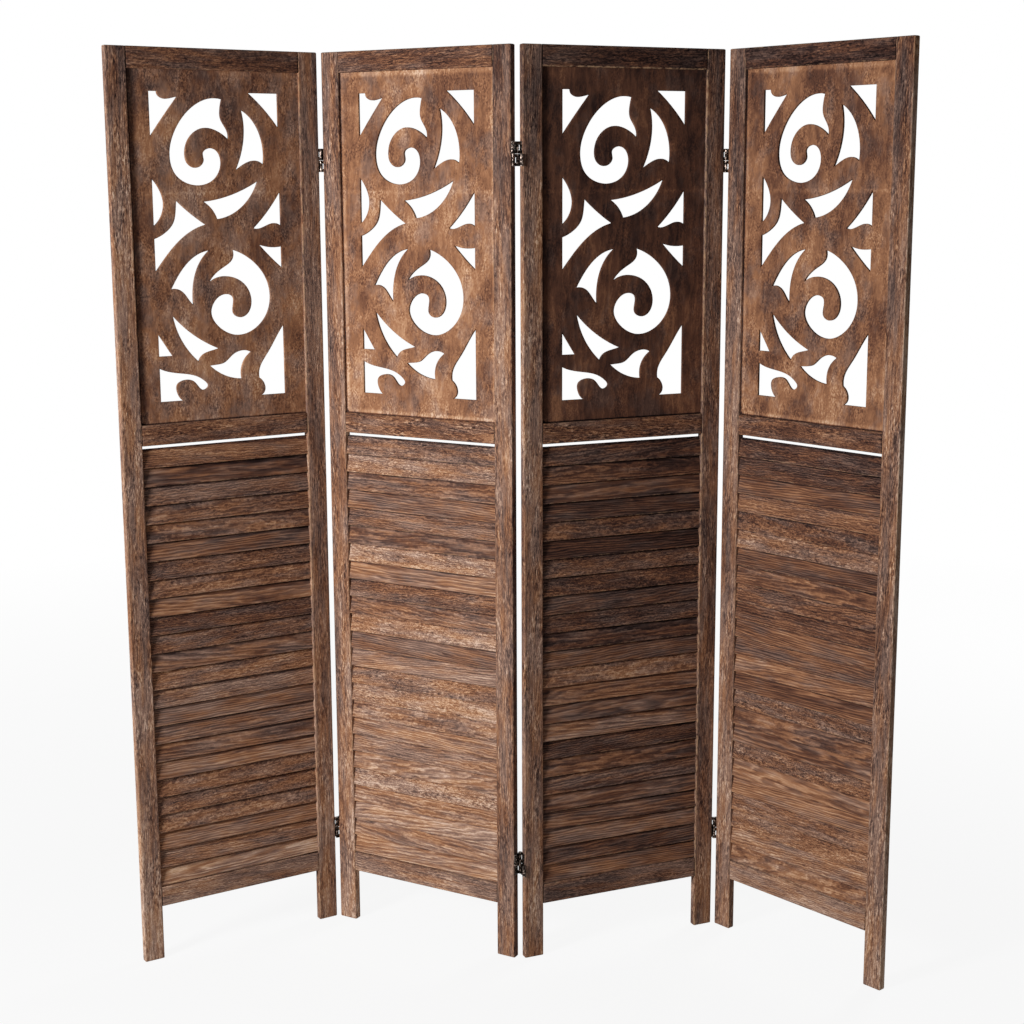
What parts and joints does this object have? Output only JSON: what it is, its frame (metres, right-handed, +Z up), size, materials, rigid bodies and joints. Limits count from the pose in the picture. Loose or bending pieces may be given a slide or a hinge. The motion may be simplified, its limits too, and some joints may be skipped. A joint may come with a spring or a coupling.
{
  "type": "folding room divider",
  "caption": "Folding wooden screen of scorched brown panels in a zigzag, each with scroll-cut fretwork above and fixed louvres below, joined by two-way hinges.",
  "frame": {"origin": "on the floor under the middle of the box round the zigzag, as it stands in the picture", "axes": "+Z up along the stiles, +X across the screen from its first panel to its last, -Y towards the side from which the picture is taken"},
  "size_m": [1.392, 0.3664, 1.7],
  "materials": {
    "stile_wood": "scorched and brushed paulownia",
    "rail_wood": "scorched and brushed paulownia",
    "board_wood": "scorched scroll-cut paulownia",
    "slat_wood": "scorched and brushed paulownia",
    "dowel_wood": "plain turned hardwood",
    "hinge_bronze": "dark bronze plated steel",
    "hinge_pin_steel": "plain steel",
    "hinge_screw_steel": "dulled steel"
  },
  "bodies": {
    "panel_1": {"panel_1_left_stile": "stile_wood", "panel_1_right_stile": "stile_wood", "panel_1_top_rail": "rail_wood", "panel_1_middle_rail": "rail_wood", "panel_1_bottom_rail": "rail_wood", "panel_1_fretwork_board": "board_wood", "panel_1_louvre_slats": "slat_wood", "panel_1_rail_dowels": "dowel_wood", "hinge_12_lower_left_leaf": "hinge_bronze", "hinge_12_left_links": "hinge_bronze", "panel_1_hinge_pins": "hinge_pin_steel", "panel_1_hinge_screws": "hinge_screw_steel", "hinge_12_upper_left_leaf": "hinge_bronze"},
    "panel_2": {"panel_2_left_stile": "stile_wood", "panel_2_right_stile": "stile_wood", "panel_2_top_rail": "rail_wood", "panel_2_middle_rail": "rail_wood", "panel_2_bottom_rail": "rail_wood", "panel_2_fretwork_board": "board_wood", "panel_2_louvre_slats": "slat_wood", "panel_2_rail_dowels": "dowel_wood", "hinge_12_lower_right_leaf": "hinge_bronze", "hinge_12_right_links": "hinge_bronze", "panel_2_hinge_pins": "hinge_pin_steel", "panel_2_hinge_screws": "hinge_screw_steel", "hinge_12_upper_right_leaf": "hinge_bronze", "hinge_23_lower_left_leaf": "hinge_bronze", "hinge_23_left_links": "hinge_bronze", "hinge_23_upper_left_leaf": "hinge_bronze"},
    "panel_3": {"panel_3_left_stile": "stile_wood", "panel_3_right_stile": "stile_wood", "panel_3_top_rail": "rail_wood", "panel_3_middle_rail": "rail_wood", "panel_3_bottom_rail": "rail_wood", "panel_3_fretwork_board": "board_wood", "panel_3_louvre_slats": "slat_wood", "panel_3_rail_dowels": "dowel_wood", "hinge_23_lower_right_leaf": "hinge_bronze", "hinge_23_right_links": "hinge_bronze", "panel_3_hinge_pins": "hinge_pin_steel", "panel_3_hinge_screws": "hinge_screw_steel", "hinge_23_upper_right_leaf": "hinge_bronze", "hinge_34_lower_left_leaf": "hinge_bronze", "hinge_34_left_links": "hinge_bronze", "hinge_34_upper_left_leaf": "hinge_bronze"},
    "panel_4": {"panel_4_left_stile": "stile_wood", "panel_4_right_stile": "stile_wood", "panel_4_top_rail": "rail_wood", "panel_4_middle_rail": "rail_wood", "panel_4_bottom_rail": "rail_wood", "panel_4_fretwork_board": "board_wood", "panel_4_louvre_slats": "slat_wood", "panel_4_rail_dowels": "dowel_wood", "hinge_34_lower_right_leaf": "hinge_bronze", "hinge_34_right_links": "hinge_bronze", "panel_4_hinge_pins": "hinge_pin_steel", "panel_4_hinge_screws": "hinge_screw_steel", "hinge_34_upper_right_leaf": "hinge_bronze"}
  },
  "joints": [
    {"name": "fold_12", "type": "hinge", "parent": "panel_2", "child": "panel_1", "pos_m": [-0.34019, 0.1646, 0], "axis": [0, 0, 1], "range_deg": [-61.8, 116.2]},
    {"name": "fold_23", "type": "hinge", "parent": "panel_2", "child": "panel_3", "pos_m": [0.02681, -0.02567, 0], "axis": [0, 0, 1], "range_deg": [-53.3, 124.7]},
    {"name": "fold_34", "type": "hinge", "parent": "panel_3", "child": "panel_4", "pos_m": [0.413, 0.12183, 0], "axis": [0, 0, -1], "range_deg": [-71.9, 106.1]}
  ]
}
